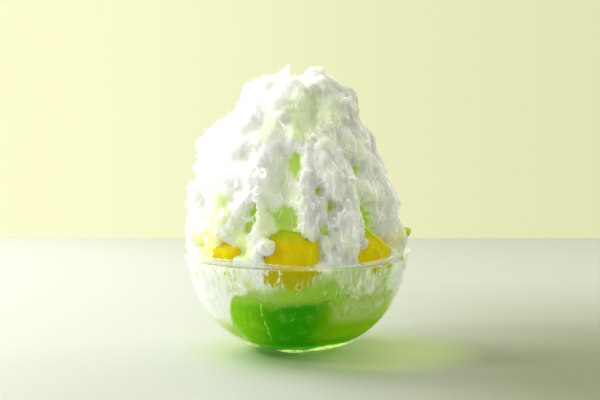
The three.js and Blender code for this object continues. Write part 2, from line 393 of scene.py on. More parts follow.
def growRings(name, sides, rings):
    # a disc pulled up and scaled from ring to ring
    radius, height = rings[0]
    disc = {"vertices": sides, "radius": radius, "fill_type": "NGON", "location": (0, 0, height)}
    piece = newPiece(name, bpy.ops.mesh.primitive_circle_add, **disc)
    bpy.ops.object.mode_set(mode="EDIT")
    bpy.ops.mesh.select_all(action="SELECT")
    for newRadius, newHeight in rings[1:]:
        bpy.ops.mesh.extrude_region_move(TRANSFORM_OT_translate={"value": (0, 0, newHeight - height)})
        share = newRadius / radius
        bpy.ops.transform.resize(value=(share, share, 1), center_override=(0, 0, newHeight))
        radius, height = newRadius, newHeight
    bpy.ops.mesh.select_all(action="SELECT")
    bpy.ops.mesh.normals_make_consistent(inside=False)
    bpy.ops.object.mode_set(mode="OBJECT")
    settle()
    return piece


def rippleAt(azimuth, height):
    # how far the outer wall stands out in its combed ripples
    fade = smoothStep(height, *bowl["rippleRise"]) * (1 - smoothStep(height, *bowl["rippleFall"]))
    sway = 2.5 * noise.noise(Vector((azimuth / 30, height / (18 * mm), 3)))
    around = math.radians(azimuth) * bowl["wallRadius"] / bowl["rippleWidth"] + sway
    fine = noise.noise(Vector((around, height / bowl["rippleLength"], 0)))
    broad = noise.noise(polar(azimuth, outerWall(height), height) / (9 * mm))
    return bowl["rippleDepth"] * fade * (fine + 0.8 * broad) + 0.15 * mm * broad


def wallRings(wall, start, count, spacing):
    # radius and height up a wall, as far as the lip
    top = bowl["rimHeight"] - bowl["lipRound"]
    heights = [start + (top - start) * (k / count) ** spacing for k in range(count + 1)]
    return [(wall(height), height) for height in heights]


def makeBowl():
    rim = bowl["rimHeight"]
    half = bowl["wallThickness"] / 2
    lip = outerWall(rim) - half
    rings = [(bowl["footRadius"] + out * mm, up * mm) for out, up in bowl["footProfile"]]
    rings += wallRings(outerWall, bowl["outerStart"], bowl["outerRings"], bowl["outerSpacing"])
    for k in range(1, bowl["lipSteps"]):
        turn = math.pi * k / bowl["lipSteps"]
        rings.append((lip + half * math.cos(turn), rim - half + half * math.sin(turn)))
    rings += reversed(wallRings(innerWall, bowl["innerStart"], bowl["innerRings"], bowl["innerSpacing"]))
    piece = growRings("glassBowl", bowl["sides"], rings)

    def ripple(point):
        azimuth = azimuthOf(point)
        radius = math.hypot(point.x, point.y)
        outside = radius > innerWall(point.z) + bowl["wallThickness"] * 0.4
        out = rippleAt(azimuth, point.z) if outside and point.z > bowl["rippleBottom"] else 0
        return polar(azimuth, radius + out, point.z + rimWave(azimuth, point.z))

    levels = [vertex.co.z for vertex in piece.data.vertices]
    moveVertices(piece, ripple)
    setAttribute(piece, "level", levels)
    return piece


def makeGlass():
    glass = Recipe("rippledGlass", Transmission_Weight=1.0, IOR=1.46, Roughness=0.03)
    height = glass.attribute("level")
    high = glass.spread(height, 20 * mm, 40 * mm) * glass.spread(height, 53.5 * mm, 52 * mm)
    combed = glass.noise(1.5 * mm, 1.0, stretch=8, distortion=0.4)
    beside = glass.axis("X") * glass.axis("X")
    patches = high * glass.spread(glass.noise(13 * mm, 2.0, offset=7) + 90 * beside, 0.45, 0.65)
    # painted glints and painted dark streaks, as refraction in the combed ripples, and a painted highlight
    # that glows along the rim
    paintedGlints = glass.spread(combed, 0.56, 0.68) * patches
    paintedDarkStreaks = glass.spread(combed, 0.44, 0.32) * patches
    facing = glass.node("ShaderNodeLayerWeight", {}, {"Blend": 0.5}, "Facing")
    edge = glass.spread(facing, 0.65, 0.98)
    rim = glass.spread(height, 52.5 * mm, 54.5 * mm)
    glass.set(Base_Color=glass.mix(paintedDarkStreaks, bowl["tint"], bowl["paintedDarkStreakTint"]))
    glass.set(Alpha=0.1 + 0.18 * high + 0.4 * paintedGlints + 0.2 * paintedDarkStreaks + 0.2 * rim + 0.35 * edge)
    glass.glow(paintedGlints + 0.7 * rim, bowl["shine"], 0.25)
    glass.bump(combed * high, 0.6 * mm, 0.9)
    return glass.material


# raised threads on the outside of the glass, which glow as painted glints
thread = {
    "half": 0.28 * mm,           # of the width
    "footHalf": 0.85 * mm,
    "sideCount": 34,
    "backCount": 60,
    "rise": 0.4,                 # mm that one wanders up and down
    "drift": 2.2,                # degrees that it wanders to the sides
    "colour": (0.5, 0.72, 0.2),
    "highGlow": (0.26, 0.29, 0.22),
    "lowGlow": (0.34, 0.42, 0.08),
    "footGlow": (0.58, 0.64, 0.20),
}

# azimuth and height of the start, then of the end
longThreads = [
    (-21, 35.5, -19.5, 25), (-19.5, 25, -18.9, 11),
    (-0.4, 49, 0.6, 37), (3, 49, 1.2, 36.5),
    (21.5, 45.5, 25, 40.5), (25, 40.5, 35.3, 35.6),
    (-38, 50.5, -34, 42.5), (-36, 51, -32.4, 41.8), (-31, 43, -29, 40),
    (-43.5, 32, -46, 25), (-4.5, 23.5, -0.8, 26.3),
]


# thicker ones where the wall turns in to the foot, which glow as its painted highlight, in the same form
footHighlightThreads = [
    (-24, 3.4, 18, 3), (8, 4, 52, 6.4), (16, 5.6, 60, 7.4),
    (96, 3.2, 150, 3.6), (200, 3.4, 246, 3.2), (262, 3.2, 290, 3.6),
]


def drawnThreads():
    # combs of short ones at both sides, and others all round the back
    draw = random.Random(3)
    rows = []
    for k in range(thread["sideCount"]):
        side = 1 if k % 2 else -1
        azimuth = side * draw.uniform(38, 68)
        top = draw.uniform(44, 53)
        rows.append((azimuth, top, azimuth - side * draw.uniform(0, 2), top - draw.uniform(4, 9)))
    for k in range(thread["backCount"]):
        azimuth = draw.uniform(70, 290)
        top = draw.uniform(24, 52)
        rows.append((azimuth, top, azimuth + draw.gauss(0, 3), top - draw.uniform(4, 14)))
    return rows


def threadPath(number, azimuth, height, lastAzimuth, lastHeight):
    # places on the glass with their outward directions
    turned = math.radians(lastAzimuth - azimuth) * outerWall(height * mm) / mm
    steps = 4 + int(math.hypot(turned, lastHeight - height))
    path = []
    for k in range(steps + 1):
        share = k / steps
        rise = thread["rise"] * noise.noise(Vector((k / 3, number, 4)))
        drift = thread["drift"] * noise.noise(Vector((number * 7.3, k / 2.6, 0)))
        z = (height + (lastHeight - height) * share + rise) * mm
        along = azimuth + (lastAzimuth - azimuth) * share + drift
        radius = outerWall(z) + rippleAt(along, z)
        path.append((polar(along, radius, z + rimWave(along, z)), polar(along, 1, 0)))
    return path


def makeThreads():
    points = []
    faces = []
    rows = [(row, thread["half"]) for row in longThreads + drawnThreads()]
    rows += [(row, thread["footHalf"]) for row in footHighlightThreads]
    for number, (row, half) in enumerate(rows):
        addRope(points, faces, threadPath(number, *row), half, 6, 0)
    piece = pieceFrom("glassThreads", points, faces)
    turnOutwards(piece)
    return piece


def makeThreadFinish():
    fine = Recipe("glassThread", Base_Color=thread["colour"], Roughness=0.15, IOR=1.46)
    height = fine.axis("Z")
    # painted glints: the threads glow, whiter high up, lime lower down, and brightest at the foot as its
    # painted highlight
    light = fine.cover(thread["highGlow"], height, 42 * mm, 35 * mm, thread["lowGlow"])
    light = fine.cover(light, height, 10 * mm, 8 * mm, thread["footGlow"])
    fine.set(Emission_Color=light, Emission_Strength=1.0)
    fine.set(Alpha=fine.spread(fine.noise(3 * mm), 0.35, 0.65, 0.1, 0.65))
    return fine.material


dress(makeBowl(), makeGlass(), "clear_glass", "bowl")
dress(makeThreads(), makeThreadFinish(), "clear_glass")
print("bowl made")


# the melon syrup

syrup = {
    "reach": 0.78,               # share of the glass wall that it reaches into
    "bottomReach": 2.6 * mm,     # into its thick bottom
    "height": 24 * mm,
    # steps of its top edge: mm up, start, end and softness in degrees
    "edges": [(11, -42, 22, 14), (3, 20, 40, 20), (-12, -125, -48, 16), (4, 100, 200, 40)],
    # left: painted light, the syrup lit from the left
    "left": (0.24, 0.60, 0.002),
    "middle": (0.03, 0.33, 0.0005),
    "right": (0.24, 0.50, 0.002),
    "slush": (0.45, 0.68, 0.08),
    "mixed": (0.38, 0.63, 0.06),
    "thin": (0.48, 0.62, 0.19),
    "milky": (0.72, 0.82, 0.45),
}


def syrupEdge(azimuth):
    # the height of its top against the glass
    rise = sum(size * sector(azimuth, *span) for size, *span in syrup["edges"])
    return syrup["height"] + (rise + math.sin(math.radians(9 * azimuth))) * mm


def makeSyrup():
    piece = mergedCopy("syrup", "melonSyrup")
    applyModifier(piece, "SUBSURF", levels=3, render_levels=3, subdivision_type="SIMPLE")

    def pressed(point):
        azimuth = azimuthOf(point)
        fingers = noise.fractal(Vector((azimuth / 3, point.z / (20 * mm), 5)), 1, 2, 3)
        near = smoothStep(point.z, syrupEdge(azimuth) - 3 * mm, syrupEdge(azimuth))
        raised = point + Vector((0, 0, (1 + 3.5 * max(0, fingers)) * mm * near))
        least = syrup["bottomReach"] * (1 - smoothStep(point.z, 6 * mm, 16 * mm))
        return intoWall(raised, syrup["reach"], least)

    moveVertices(piece, pressed)
    depths = [syrupEdge(azimuthOf(vertex.co)) - vertex.co.z for vertex in piece.data.vertices]
    setAttribute(piece, "mixing", [1 - smoothStep(depth, -2 * mm, 5 * mm) for depth in depths])
    return piece


def makeSyrupFinish():
    wet = Recipe("melonSyrup", Subsurface_Weight=1.0, Subsurface_Scale=2 * mm, Specular_IOR_Level=0.0)
    wet.set(Subsurface_Radius=(0.9, 1.0, 0.3), Roughness=0.4)
    height = wet.axis("Z")
    across = wet.axis("X") + 12 * mm * (wet.noise(14 * mm) - 0.5)
    left = wet.spread(across, -36 * mm, -8 * mm)
    deeper = height + 8 * mm * (wet.noise(9 * mm, 3.0, offset=4) - 0.5)
    right = wet.spread(across, 4 * mm, 22 * mm) * wet.spread(deeper, 7 * mm, 15 * mm, 0.25, 1)
    # painted light: lighter yellow-green on the left, where light from the left comes through the syrup;
    # deep green in the middle; olive towards the right, less so low down
    colour = wet.mix(left, syrup["left"], syrup["middle"])
    colour = wet.mix(right, colour, syrup["right"])
    slush = wet.spread(wet.noise(5 * mm, 5.0, stretch=1.5, roughness=0.65), 0.5, 0.8)
    colour = wet.mix(0.25 * slush, colour, syrup["slush"])
    streaks = wet.noise(1.8 * mm, 3.0, stretch=4, distortion=0.8)
    patchy = 0.3 - 0.3 * left
    colour = wet.mix(patchy * wet.spread(streaks, 0.45, 0.75), colour, syrup["slush"])
    mixing = wet.attribute("mixing") + 0.5 * (streaks - 0.5) + 1.4 * (wet.noise(8 * mm, 3.0) - 0.5)
    colour = wet.cover(colour, mixing, 0.0, 1.1, syrup["mixed"])
    thin = wet.spread(across, 14 * mm, 24 * mm) * wet.spread(height + 3 * mm * streaks, 20 * mm, 30 * mm)
    colour = wet.mix(thin, colour, syrup["thin"])
    colour = wet.cover(colour, across + 0.6 * height, -20 * mm, -29 * mm, syrup["milky"])
    wet.set(Base_Color=colour)
    # painted light: the syrup glows, most at the bottom, where little lamp light reaches through the glass
    wet.glow(wet.spread(height, 9 * mm, 3 * mm, 0.2, 1.2), colour, 0.5)
    return wet.material


dress(makeSyrup(), makeSyrupFinish(), "melon_syrup", "syrup")
print("syrup made")


# the mango's sizes and colours

mango = {
    "halfSize": Vector((16, 6, 15)) * mm,
    "height": 60 * mm,
    "face": 61 * mm,             # radius of the outer face
    "rounding": 4.5 * mm,
    "leanStart": 5 * mm,         # above the rim
    "wobble": 0.9 * mm,
    "fibre": 0.2 * mm,
    "gold": (0.74, 0.62, 0.001),
    "deep": (0.70, 0.50, 0.001),
    "light": (0.88, 0.78, 0.03),
    "steeped": (0.48, 0.58, 0.01),
    "sunken": (0.54, 0.49, 0.0005),
}

# the shaved ice: white outside, and soaked with syrup where its hollows reach in

ice = {
    "voxel": 0.9 * mm,
    "fineVoxel": 0.75 * mm,
    "kept": 0.72,                # share of the heap's triangles
    "packedDepth": 2.5 * mm,     # how far under the rim the packed ice begins
    "reach": 0.7,                # share of the glass wall that it reaches into
    "moundRadius": 60.5 * mm,
    "moundHeight": 105 * mm,
    "moundShift": 3.5 * mm,      # how far the heap leans to the left
    "shiftSpan": 92 * mm,
    "backHollows": 22,
    "scatter": 8 * mm,
    "white": (0.90, 0.885, 0.90),
    # whites painted darker as shade: on the combed right, which is also wetter, inside the left and on the
    # right of the crown
    "wetAndShadedWhite": (0.71, 0.70, 0.71),
    "shade": (0.48, 0.5, 0.42),
    "paintedShadeWhite": (0.75, 0.745, 0.75),
    "pale": (0.76, 0.84, 0.55),
    "green": (0.54, 0.71, 0.14),
    "deep": (0.32, 0.60, 0.015),
    "stain": (0.95, 0.91, 0.34),
    "clear": (0.74, 0.80, 0.66),
}

# holes where the soaked heart shows: azimuth, height, half width, half height, depth
hollows = [
    (-3.5, 77.5, 6.3, 9.5, 7),
    (2.8, 109, 4.3, 7.5, 6.5),
    (6, 99.5, 2.6, 3, 5),
    (15, 93, 2.2, 4.5, 6),
    (20.5, 86.5, 6, 3.6, 6.5),
    (17.3, 72.5, 3, 3, 7),
    (44.3, 105, 3.2, 3.6, 4.5),
    (44, 79, 7, 8, 7),
    (-21.3, 82.5, 3.2, 6, 5.5),
    (-25.5, 75, 3.2, 3.6, 5),
    (-22.5, 94, 1.3, 3, 4),
]

# openings where the mango shows, in the same form
windows = [
    (-3, 63, 15, 11, 6.5),
    (-41, 58.5, 8, 5, 6.5),
    (-41.5, 64, 2, 3.5, 6.5),
    (46, 62, 14, 12, 6.5),
    (91, 67, 15, 10, 6.5),
    (133, 64, 13, 9, 6.5),
    (178, 62, 11, 10, 6.5),
    (223, 64, 13, 8, 6.5),
]

# mango that shows through the ice, in the same form with its strength last
stains = [
    (-52, 63, 12, 9, 0.7),
    (-47, 72, 6, 7, 0.5),
    (-2, 50, 15, 7, 1),
    (44, 51, 4, 4, 0.95),
    (55, 53, 4, 2, 0.8),
    (-44, 51, 8, 3, 0.6),
    (63, 65, 4, 8, 0.45),
    (-3, 72, 12, 3, 0.4),
    (-12, 69, 4, 4, 0.35),
]

# soft patches of soaked ice under the surface: azimuth, height, half width, half height, strength
glows = [
    (17, 137, 16, 11, 0.49),
    (-18, 130, 6, 8, 0.4),
    (4, 126, 6, 5, 0.55),
    (24, 122, 8, 6, 0.3),
    (45, 118, 8, 8, 0.35),
    (-30, 118, 10, 14, 0.26),
    (-6, 104, 6, 12, 0.3),
    (-4, 88, 12, 10, 0.38),
    (-12, 79, 8, 10, 0.45),
    (42, 88, 10, 14, 0.4),
    (-30, 76, 8, 10, 0.35),
    (22, 66, 10, 8, 0.3),
    (60, 76, 9, 14, 0.25),
    (-42, 84, 8, 9, 0.6),
    (-50, 76, 9, 10, 0.5),
    (-31, 71, 5, 4, 0.6),
    (-28, 64, 6, 8, 0.65),
    (55, 100, 7, 10, 0.3),
    (20, 108, 9, 6, 0.25),
]


# steps and bulges of the outline, in the same form with how far out
swells = [
    (-90, 139, 22, 4.5, -4.5),
    (-90, 131, 20, 4, -2),
    (-90, 121, 14, 6, 1.5),
    (-90, 99, 20, 3.5, -4.5),
    (-90, 91, 18, 6, -2.5),
    (90, 133, 20, 5, -4),
    (90, 113, 22, 8, -3),
    (90, 89, 14, 6, 3),
    (180, 125, 25, 6, -3),
    (140, 95, 22, 8, 3),
    (220, 108, 20, 7, -3),
]


# the crest's height from left to right, between the knob and the spike that are added to it
crest = [
    (-40, 151.5),
    (-30, 153.6),
    (-19, 155.8),
    (-10, 156.8),
    (-3, 155.8),
    (3, 157.2),
    (13, 158),
    (18, 156.2),
    (25, 153.3),
    (34, 148.5),
]


def crestHeight(across):
    for (x, z), (nextX, nextZ) in zip(crest, crest[1:]):
        if across <= nextX * mm:
            share = max(0, (across / mm - x) / (nextX - x))
            return (z + (nextZ - z) * share) * mm
    return crest[-1][1] * mm


def drawnHollows():
    # the far side gets holes of the same kind
    draw = random.Random(11)
    rows = []
    for k in range(ice["backHollows"]):
        azimuth = 80 + 200 * (k + draw.random()) / ice["backHollows"]
        middle = draw.uniform(66, 130)
        rows.append((azimuth, middle, draw.uniform(2.5, 6), draw.uniform(3, 9), draw.uniform(7, 9)))
    return rows


allHollows = drawnHollows() + hollows


def heapShift(height):
    if height < bowl["rimHeight"]:
        return 0
    return -ice["moundShift"] * math.sin(math.pi * (height - bowl["rimHeight"]) / ice["shiftSpan"])


def plainRadius(height):
    # of the heap without its relief, and of the filling of the glass below the rim
    if height < bowl["rimHeight"]:
        return innerWall(height)
    share = min(1, (height - bowl["rimHeight"]) / ice["moundHeight"])
    return ice["moundRadius"] * math.sqrt(max(0, 1 - share * share))


def onHeap(azimuth, radius, height):
    return polar(azimuth, radius, height) + Vector((heapShift(height), 0, 0))


def heapPlace(point):
    # azimuth and radius from the leaning axis of the heap
    flat = Vector((point.x - heapShift(point.z), point.y))
    return math.degrees(math.atan2(flat.x, -flat.y)), flat.length


def nearness(rows, azimuth, radius, height, warp):
    # for each row, the squared distance in its half sizes, and its last value
    for place, middle, halfWidth, halfHeight, last in rows:
        across = math.radians(apart(azimuth, place)) * radius / mm + warp
        along = height / mm - middle + warp
        far = (across / halfWidth) ** 2 + (along / halfHeight) ** 2
        if far < 4:
            yield far, last


def makeLump(azimuth, radius, height, size, turn):
    lump = newPiece("lump", bpy.ops.mesh.primitive_ico_sphere_add, subdivisions=5, radius=1)
    centre = onHeap(azimuth, radius * mm, height * mm)
    lump.scale = Vector(size) * mm
    lump.rotation_euler = (0, math.radians(turn), math.radians(azimuth))
    lump.location = centre
    settle()

    def rough(point):
        away = (point - centre).normalized()
        fibres = noise.fractal(Vector((point.x, point.y, 0.5 * point.z)) / (3 * mm), 0.8, 2, 3)
        return point + away * 1.7 * mm * fibres

    moveVertices(lump, rough)
    return lump


# white lumps on the heap: azimuth, radius, height, half sizes across, through and up, turn
lumps = [
    (-15, 61, 65, (5.2, 3.4, 4.6), 10),
    (-21, 60.8, 60.5, (3.6, 3, 6), 0),
    (9, 59.5, 77, (4.5, 3, 9.5), -8),
    (13, 58, 84, (7, 3, 8), 8),
    (8, 56, 98, (3.5, 2.5, 8), 0),
    (-24, 57.5, 92, (3.6, 3, 6), 35),
    (-30, 58.5, 84, (3.8, 3.2, 7), 35),
    (-36, 59.6, 74, (3.6, 3.2, 7), 30),
    (27, 59.5, 66, (5.6, 3.5, 12), 0),
    (36.2, 61.3, 66, (3.8, 2.4, 3), 0),
    (78, 9.3, 157.2, (7, 6, 5), 0),
]


# the pointed shaving that stands up left of the knob
spike = {
    "foot": Vector((-10, 0, 153.5)) * mm,
    "tip": Vector((-4.3, 0, 164)) * mm,
    "footRadius": 4.6 * mm,
    "tipRadius": 0.5 * mm,
}


def makeSpike():
    along = spike["tip"] - spike["foot"]
    cone = {"radius1": spike["footRadius"], "radius2": spike["tipRadius"], "depth": along.length}
    piece = newPiece("spike", bpy.ops.mesh.primitive_cone_add, vertices=24, **cone)
    piece.location = (spike["foot"] + spike["tip"]) / 2
    piece.rotation_euler = along.to_track_quat("Z", "Y").to_euler()
    settle()
    return piece


# sizes of the relief, widths across in mm
relief = {
    "around": 48,                # radius on which the widths are measured
    "ribWidth": 2.6,
    "ribLength": 17 * mm,
    "fibreWidth": 1.1,
    "fibreLength": 8 * mm,
    "clumpSize": 10 * mm,
    "clumpHeight": 3.0,
    "notchWidth": 4.2,
    "notchLength": 9 * mm,
    "notchDepth": 5 * mm,
    "tuftSize": 3.5 * mm,        # of the tufts on the crest
    "tuftHeight": 1.4 * mm,
}


def carved(radius, floor, share):
    # the radius brought in to the floor of a hollow, by a share
    return radius + min(0, floor - radius) * share


def shapeHeap(point, normal):
    # relief over the plain copy: cotton on the left, ribs and fibres on the right, then the hollows
    rim = bowl["rimHeight"]
    azimuth, radius = heapPlace(point)
    free = smoothStep(point.z, rim - 1 * mm, rim + 3 * mm)
    ribbed = smoothStep(azimuth, -25, 10) * (1 - smoothStep(point.z, 120 * mm, 150 * mm))
    sway = 3 * noise.noise(Vector((azimuth / 12, point.z / (16 * mm), 1)))
    around = math.radians(azimuth) * relief["around"] + sway
    rib = noise.noise(Vector((around / relief["ribWidth"], point.z / relief["ribLength"], 2)))
    fibre = noise.noise(Vector((around / relief["fibreWidth"], point.z / relief["fibreLength"], 5)))
    clump = noise.fractal(Vector((point.x, point.y, 0.7 * point.z)) / relief["clumpSize"], 1.0, 2, 3)
    dome = smoothStep(azimuth, 15, 50) * smoothStep(point.z, 118 * mm, 134 * mm)
    inner = sector(azimuth, -50, -14, 12) * sector(point.z / mm, 92, 136, 10)
    swing = relief["clumpHeight"] - 0.7 * ribbed - 1.5 * dome - 1.5 * inner
    out = (0.15 + 0.7 * ribbed) * (1 - 2.4 * abs(rib)) + 0.6 * ribbed * fibre + swing * clump
    moved = point + normal * out * mm * free
    azimuth, radius = heapPlace(moved)
    height = moved.z
    for far, swell in nearness(swells, azimuth, radius, height, 0):
        radius += swell * mm * (1 - smoothStep(far, 0, 2))
    envelope = plainRadius(height)
    notch = noise.noise(Vector((around / relief["notchWidth"], height / relief["notchLength"], 4)))
    notch += 0.35 * noise.noise(point / (2 * mm))
    fade = free * (0.1 + 0.3 * ribbed) * (1 - smoothStep(height, 135 * mm, 150 * mm))
    radius = carved(radius, envelope - relief["notchDepth"], smoothStep(notch, 0.3, 0.6) * fade)
    warp = 3 * noise.noise(point / (4.5 * mm)) + 1.8 * noise.noise(point / (2 * mm))
    for far, depth in nearness(allHollows, azimuth, radius, height, warp):
        radius = carved(radius, envelope - depth * mm, 1 - smoothStep(far, 0.2, 1.5))
    clear = smoothStep(height, rimTop(azimuth) - 2.5 * mm, rimTop(azimuth))
    for far, depth in nearness(windows, azimuth, radius, height, warp):
        radius = carved(radius, envelope - depth * mm, (1 - smoothStep(far, 0.55, 1.35)) * clear)
    shaped = onHeap(azimuth, radius, height)
    above = max(0, height - crestHeight(shaped.x) + 1.5 * mm)
    shaped.z -= 0.85 * (above * above / (8 * mm) if above < 4 * mm else above - 2 * mm)
    near = smoothStep(height, 144 * mm, 152 * mm) * (1 - smoothStep(shaped.x, 0, 14 * mm))
    tuft = noise.fractal(shaped / relief["tuftSize"], 0.8, 2, 3)
    return shaped + normal * near * relief["tuftHeight"] * tuft


def packedSoakAt(azimuth, height):
    # behind the glass: green over the syrup's edge, clear at the front, milky low on the left
    over = height - syrupEdge(azimuth)
    mixed = sector(azimuth, -22, 66, 20) * 15 * mm + 3 * mm
    end = 60 + 25 * (1 - smoothStep(height, 32 * mm, 40 * mm))
    clear = 0.52 * sector(azimuth, -10, end, 12)
    clear += 0.4 * sector(azimuth, -43, -22, 5) * smoothStep(height, 30 * mm, 40 * mm)
    band = 0.5 * sector(azimuth, 18, 60, 12) * (1 - smoothStep(height, 30 * mm, 36 * mm))
    lower = sector(azimuth, -130, -38, 10) * (1 - smoothStep(height, 10 * mm, 29 * mm))
    return max(0.9 * (1 - smoothStep(over, 0, mixed)) + clear - band, 1.05 * lower)


def soakAt(point):
    # how soaked the ice is with syrup, from the place alone
    azimuth, radius = heapPlace(point)
    height = point.z
    if height < bowl["rimHeight"] - ice["packedDepth"]:
        return packedSoakAt(azimuth, height)
    warp = 2.2 * noise.noise(point / (4 * mm)) + 1.2 * noise.noise(point / (1.8 * mm))
    depth = plainRadius(height) - radius
    low = 1 - smoothStep(height, 80 * mm, 120 * mm)
    calm = 1 - smoothStep(height, 140 * mm, 150 * mm)
    wet = (0.15 + 0.4 * low) * smoothStep(depth, 2 * mm, 7 * mm) * calm
    wet += 0.13 * sector(azimuth, -25, 75, 30) * calm
    for far, strength in nearness(glows, azimuth, radius, height, 1.5 * warp):
        wet = max(wet, strength * (1 - smoothStep(far, 0.1, 3)))
    full = (0.85 + 0.2 * low) * smoothStep(depth, 0, 5.5 * mm)
    for far, last in nearness(allHollows, azimuth, radius, height, warp):
        wet = max(wet, full * (1 - smoothStep(far, 0, 2.6)))
    return wet


def stainAt(point):
    azimuth, radius = heapPlace(point)
    rows = nearness(stains, azimuth, radius, point.z, 0)
    return max([strength * (1 - smoothStep(far, 0, 3.2)) for far, strength in rows], default=0)


def part(piece, name, height, above):
    # the part of a piece above or below a level, closed there
    half = piece.copy()
    half.data = piece.data.copy()
    half.name = name
    bpy.context.collection.objects.link(half)
    cut = {"plane_co": (0, 0, height), "plane_no": (0, 0, 1), "use_fill": True}
    inEditMode(half, (bpy.ops.mesh.bisect, {**cut, "clear_inner": above, "clear_outer": not above}))
    return half


def makeIce():
    whole = mergedCopy("shaved_ice", "shavedIce")
    # the slices' copies fill their pockets
    join(whole, [mergedCopy(f"mango_slice_{number}", "pocket") for number in range(1, 8)])
    applyModifier(whole, "REMESH", mode="VOXEL", voxel_size=ice["voxel"])
    applyModifier(whole, "SMOOTH", factor=0.5, iterations=4)
    normals = [vertex.normal.copy() for vertex in whole.data.vertices]
    for vertex, normal in zip(whole.data.vertices, normals):
        vertex.co = shapeHeap(vertex.co.copy(), normal)
    whole.data.update()
    join(whole, [makeStrands(whole), makeSpike()] + [makeLump(*row) for row in lumps])
    applyModifier(whole, "REMESH", mode="VOXEL", voxel_size=ice["fineVoxel"])
    applyModifier(whole, "SMOOTH", factor=0.5, iterations=2)
    cut = bowl["rimHeight"] - ice["packedDepth"]
    heap = part(whole, "iceHeap", cut, True)
    packed = part(whole, "icePacked", cut, False)
    bpy.data.objects.remove(whole)
    moveVertices(packed, lambda point: intoWall(point, ice["reach"], 1 * mm))
    for piece in (heap, packed):
        setAttribute(piece, "soak", [soakAt(vertex.co) for vertex in piece.data.vertices])
        setAttribute(piece, "stain", [stainAt(vertex.co) for vertex in piece.data.vertices])
    return heap, packed


def makeIceFinish():
    snow = Recipe("shavedIce", Subsurface_Weight=1.0, Subsurface_Scale=ice["scatter"], IOR=1.31)
    snow.set(Subsurface_Radius=(1.0, 1.02, 0.98))
    across = snow.axis("X")
    height = snow.axis("Z")
    mottle = snow.noise(6 * mm, 3.0, stretch=1.8)
    fibres = snow.noise(1.3 * mm, 1.0, stretch=7, distortion=0.3)
    wisps = snow.noise(2.6 * mm, 3.0, stretch=5, distortion=0.4)
    tufts = snow.noise(4.5 * mm, 4.0, stretch=1.3, roughness=0.6, offset=3)
    # combed towards the right, where the white is both wetter and painted darker as shade, less so at its
    # far right edge; painted shade in the tufts inside the left; and painted shade on the right side of the
    # crown
    combed = snow.spread(across, -20 * mm, 8 * mm) * snow.spread(height, 158 * mm, 144 * mm, 0.5, 1.0)
    combed = combed * snow.spread(across, 54 * mm, 38 * mm, 0.4, 1.0)
    inside = snow.spread(across - 0.1 * height, -60 * mm, -38 * mm)
    paintedShade = inside * snow.spread(tufts, 0.62, 0.42, 0.2, 0.9) * (1 - combed)
    crown = snow.spread(height, 120 * mm, 136 * mm) * snow.spread(height, 156 * mm, 152 * mm)
    crown = crown * snow.spread(across, 0, 12 * mm)
    colour = snow.mix(combed * snow.spread(wisps, 0.66, 0.42, 0.1, 1), ice["white"], ice["wetAndShadedWhite"])
    colour = snow.mix(paintedShade, colour, ice["paintedShadeWhite"])
    colour = snow.mix(crown, colour, ice["paintedShadeWhite"])
    wet = snow.attribute("soak") + 0.4 * (mottle - 0.5) + 0.12 * combed * (fibres - 0.5)
    colour = snow.cover(colour, wet, 0.15, 0.6, ice["pale"])
    colour = snow.cover(colour, wet, 0.45, 0.9, ice["green"])
    colour = snow.cover(colour, wet, 0.9, 1.4, ice["deep"])
    colour = snow.mix(0.3 * crown, colour, ice["shade"])
    stain = snow.attribute("stain") + 0.4 * (mottle - 0.5)
    colour = snow.cover(colour, stain, 0.1, 0.8, ice["stain"])
    snow.set(Base_Color=colour, Roughness=snow.spread(mottle, 0.35, 0.65, 0.35, 0.6))
    # painted light: the ice glows where it is soaked, as light coming through it, and more on the top left
    # of the crest
    paintedLightTop = snow.spread(height, 141 * mm, 150 * mm) * snow.spread(across, 9 * mm, -3 * mm)
    paintedLightTop = paintedLightTop * snow.spread(across, -32 * mm, -14 * mm)
    snow.glow(snow.spread(wet, 0, 1, 0.05, 0.5) + 0.55 * paintedLightTop, colour, 0.32)
    crystals = snow.noise(0.8 * mm, 3.0, stretch=3)
    cotton = snow.noise(3 * mm, 3.0, stretch=1.5, roughness=0.6)
    snow.bump(0.3 * crystals + 0.8 * combed * fibres + 0.6 * cotton, 0.6 * mm, 0.4)
    return snow.material


def makePackedFinish():
    # pressed against the glass: white clumps, clear wet ice and syrup between them
    pack = Recipe("packedIce", Subsurface_Weight=1.0, Subsurface_Scale=2 * mm, Specular_IOR_Level=0.0)
    pack.set(Subsurface_Radius=(1.0, 1.0, 0.9), Roughness=0.5)
    clumps = pack.noise(7 * mm, 5.0, stretch=1.6, roughness=0.7, distortion=0.8)
    streaks = pack.noise(1.8 * mm, 3.0, stretch=5, distortion=0.8)
    broken = 1.5 * (clumps - 0.5) + 0.35 * (streaks - 0.5)
    wet = pack.attribute("soak") + broken
    colour = pack.cover(ice["white"], broken, -0.05, 0.35, ice["clear"])
    colour = pack.cover(colour, wet, 0.1, 0.6, ice["pale"])
    colour = pack.cover(colour, wet, 0.35, 0.85, syrup["thin"])
    colour = pack.cover(colour, wet, 0.7, 1.15, syrup["mixed"])
    stain = pack.attribute("stain") + 1.8 * (clumps - 0.5) + 0.8 * (streaks - 0.5)
    colour = pack.cover(colour, stain, 0.6, 0.85, mango["sunken"])
    # painted light: the packed ice glows faintly in its own colour
    pack.set(Base_Color=colour, Emission_Color=colour, Emission_Strength=0.1)
    return pack.material


